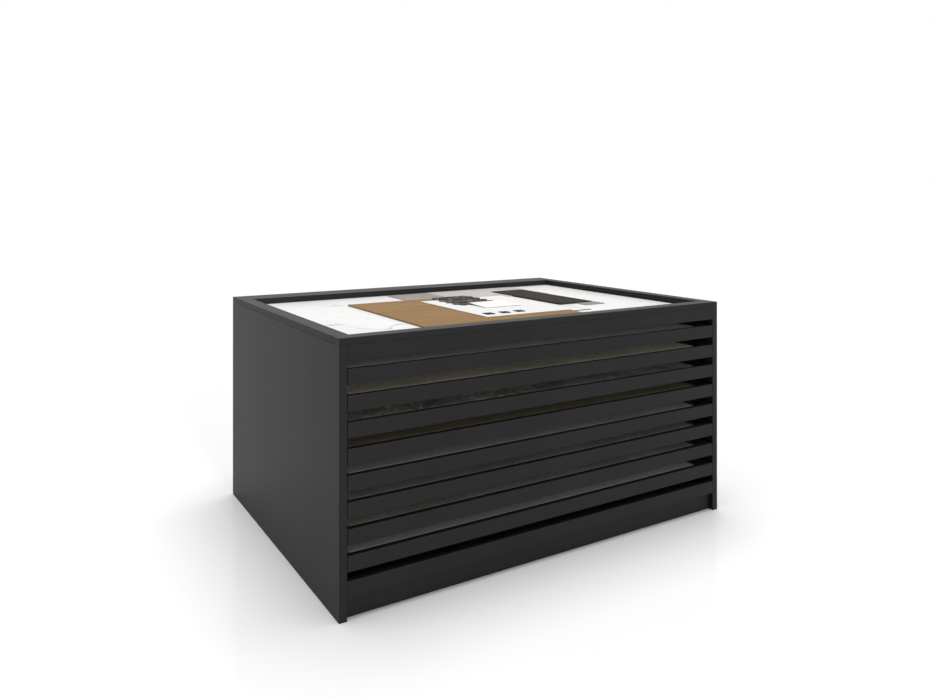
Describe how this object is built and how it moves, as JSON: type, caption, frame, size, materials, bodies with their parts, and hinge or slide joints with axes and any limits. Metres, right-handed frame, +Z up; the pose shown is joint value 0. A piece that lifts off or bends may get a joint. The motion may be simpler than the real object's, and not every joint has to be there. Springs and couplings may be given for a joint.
{
  "type": "tile display drawer unit",
  "caption": "Low cabinet with slatted pull-out trays on telescopic slides for large tiles, and a framed recess on top that shows loose tile samples.",
  "frame": {"origin": "on the floor, at the middle of the footprint", "axes": "+X along the width, to the right seen from the front; +Y to the back; +Z up"},
  "size_m": [1.3596, 0.9898, 0.6999],
  "materials": {
    "anthracite_board": "anthracite laminated board, satin, fine grain",
    "black_board": "black laminated board, matt",
    "zinc_steel": "rolled steel, bright zinc plated",
    "white_marble": "polished white stone with grey veins",
    "oak": "oak boards, matt lacquer",
    "white_sheet": "white card, matt",
    "mosaic": "dark grey stone mosaic chips, honed",
    "cream_glaze": "cream glaze, gloss",
    "dark_plank": "dark stained wood, matt",
    "grey_ceramic": "warm grey body, matt",
    "greige_ceramic": "light greige body, matt",
    "tile_stone_grey": "mid grey stone look, matt",
    "tile_taupe": "taupe stone look, matt",
    "tile_green_marble": "green-grey marble look, satin",
    "tile_walnut": "walnut look, matt",
    "tile_warm_grey": "warm grey stone look, matt",
    "tile_brown_grey": "brown-grey stone look, matt",
    "tile_clay_grey": "clay grey stone look, matt",
    "tile_concrete": "light concrete look, matt"
  },
  "bodies": {
    "cabinet": {"left_side_panel": "anthracite_board", "right_side_panel": "anthracite_board", "back_panel": "anthracite_board", "plinth_board": "anthracite_board", "base_rail": "anthracite_board", "top_apron": "anthracite_board", "frame_front_rail": "anthracite_board", "frame_back_rail": "anthracite_board", "frame_left_rail": "anthracite_board", "frame_right_rail": "anthracite_board", "bottom_panel": "black_board", "top_deck": "black_board", "marble_slab": "white_marble", "oak_sample": "oak", "white_sheet_sample": "white_sheet", "mosaic_sample": "mosaic", "cream_sample": "cream_glaze", "dark_plank_sample": "dark_plank", "grey_sample": "grey_ceramic", "greige_sample": "greige_ceramic"},
    "drawer_1": {"drawer_1_front": "anthracite_board", "drawer_1_tray": "black_board", "drawer_1_tile": "tile_stone_grey"},
    "runner_1": {"runner_1_left": "zinc_steel", "runner_1_right": "zinc_steel"},
    "drawer_2": {"drawer_2_front": "anthracite_board", "drawer_2_tray": "black_board", "drawer_2_tile": "tile_taupe"},
    "runner_2": {"runner_2_left": "zinc_steel", "runner_2_right": "zinc_steel"},
    "drawer_3": {"drawer_3_front": "anthracite_board", "drawer_3_tray": "black_board", "drawer_3_tile": "tile_green_marble"},
    "runner_3": {"runner_3_left": "zinc_steel", "runner_3_right": "zinc_steel"},
    "drawer_4": {"drawer_4_front": "anthracite_board", "drawer_4_tray": "black_board", "drawer_4_tile": "tile_walnut"},
    "runner_4": {"runner_4_left": "zinc_steel", "runner_4_right": "zinc_steel"},
    "drawer_5": {"drawer_5_front": "anthracite_board", "drawer_5_tray": "black_board", "drawer_5_tile": "tile_warm_grey"},
    "runner_5": {"runner_5_left": "zinc_steel", "runner_5_right": "zinc_steel"},
    "drawer_6": {"drawer_6_front": "anthracite_board", "drawer_6_tray": "black_board", "drawer_6_tile": "tile_brown_grey"},
    "runner_6": {"runner_6_left": "zinc_steel", "runner_6_right": "zinc_steel"},
    "drawer_7": {"drawer_7_front": "anthracite_board", "drawer_7_tray": "black_board", "drawer_7_tile": "tile_clay_grey"},
    "runner_7": {"runner_7_left": "zinc_steel", "runner_7_right": "zinc_steel"},
    "drawer_8": {"drawer_8_front": "anthracite_board", "drawer_8_tray": "black_board", "drawer_8_tile": "tile_concrete"},
    "runner_8": {"runner_8_left": "zinc_steel", "runner_8_right": "zinc_steel"}
  },
  "joints": [
    {"name": "drawer_1_slide", "type": "slide", "parent": "cabinet", "child": "drawer_1", "axis": [0, -1, 0], "range_m": [0, 0.8]},
    {"name": "runner_1_slide", "type": "slide", "parent": "cabinet", "child": "runner_1", "axis": [0, -1, 0], "range_m": [0, 0.4]},
    {"name": "drawer_2_slide", "type": "slide", "parent": "cabinet", "child": "drawer_2", "axis": [0, -1, 0], "range_m": [0, 0.8]},
    {"name": "runner_2_slide", "type": "slide", "parent": "cabinet", "child": "runner_2", "axis": [0, -1, 0], "range_m": [0, 0.4]},
    {"name": "drawer_3_slide", "type": "slide", "parent": "cabinet", "child": "drawer_3", "axis": [0, -1, 0], "range_m": [0, 0.8]},
    {"name": "runner_3_slide", "type": "slide", "parent": "cabinet", "child": "runner_3", "axis": [0, -1, 0], "range_m": [0, 0.4]},
    {"name": "drawer_4_slide", "type": "slide", "parent": "cabinet", "child": "drawer_4", "axis": [0, -1, 0], "range_m": [0, 0.8]},
    {"name": "runner_4_slide", "type": "slide", "parent": "cabinet", "child": "runner_4", "axis": [0, -1, 0], "range_m": [0, 0.4]},
    {"name": "drawer_5_slide", "type": "slide", "parent": "cabinet", "child": "drawer_5", "axis": [0, -1, 0], "range_m": [0, 0.8]},
    {"name": "runner_5_slide", "type": "slide", "parent": "cabinet", "child": "runner_5", "axis": [0, -1, 0], "range_m": [0, 0.4]},
    {"name": "drawer_6_slide", "type": "slide", "parent": "cabinet", "child": "drawer_6", "axis": [0, -1, 0], "range_m": [0, 0.8]},
    {"name": "runner_6_slide", "type": "slide", "parent": "cabinet", "child": "runner_6", "axis": [0, -1, 0], "range_m": [0, 0.4]},
    {"name": "drawer_7_slide", "type": "slide", "parent": "cabinet", "child": "drawer_7", "axis": [0, -1, 0], "range_m": [0, 0.8]},
    {"name": "runner_7_slide", "type": "slide", "parent": "cabinet", "child": "runner_7", "axis": [0, -1, 0], "range_m": [0, 0.4]},
    {"name": "drawer_8_slide", "type": "slide", "parent": "cabinet", "child": "drawer_8", "axis": [0, -1, 0], "range_m": [0, 0.8]},
    {"name": "runner_8_slide", "type": "slide", "parent": "cabinet", "child": "runner_8", "axis": [0, -1, 0], "range_m": [0, 0.4]}
  ],
  "couplings": [
    {"joint": "runner_1_slide", "follows": "drawer_1_slide", "ratio": 0.5},
    {"joint": "runner_2_slide", "follows": "drawer_2_slide", "ratio": 0.5},
    {"joint": "runner_3_slide", "follows": "drawer_3_slide", "ratio": 0.5},
    {"joint": "runner_4_slide", "follows": "drawer_4_slide", "ratio": 0.5},
    {"joint": "runner_5_slide", "follows": "drawer_5_slide", "ratio": 0.5},
    {"joint": "runner_6_slide", "follows": "drawer_6_slide", "ratio": 0.5},
    {"joint": "runner_7_slide", "follows": "drawer_7_slide", "ratio": 0.5},
    {"joint": "runner_8_slide", "follows": "drawer_8_slide", "ratio": 0.5}
  ]
}
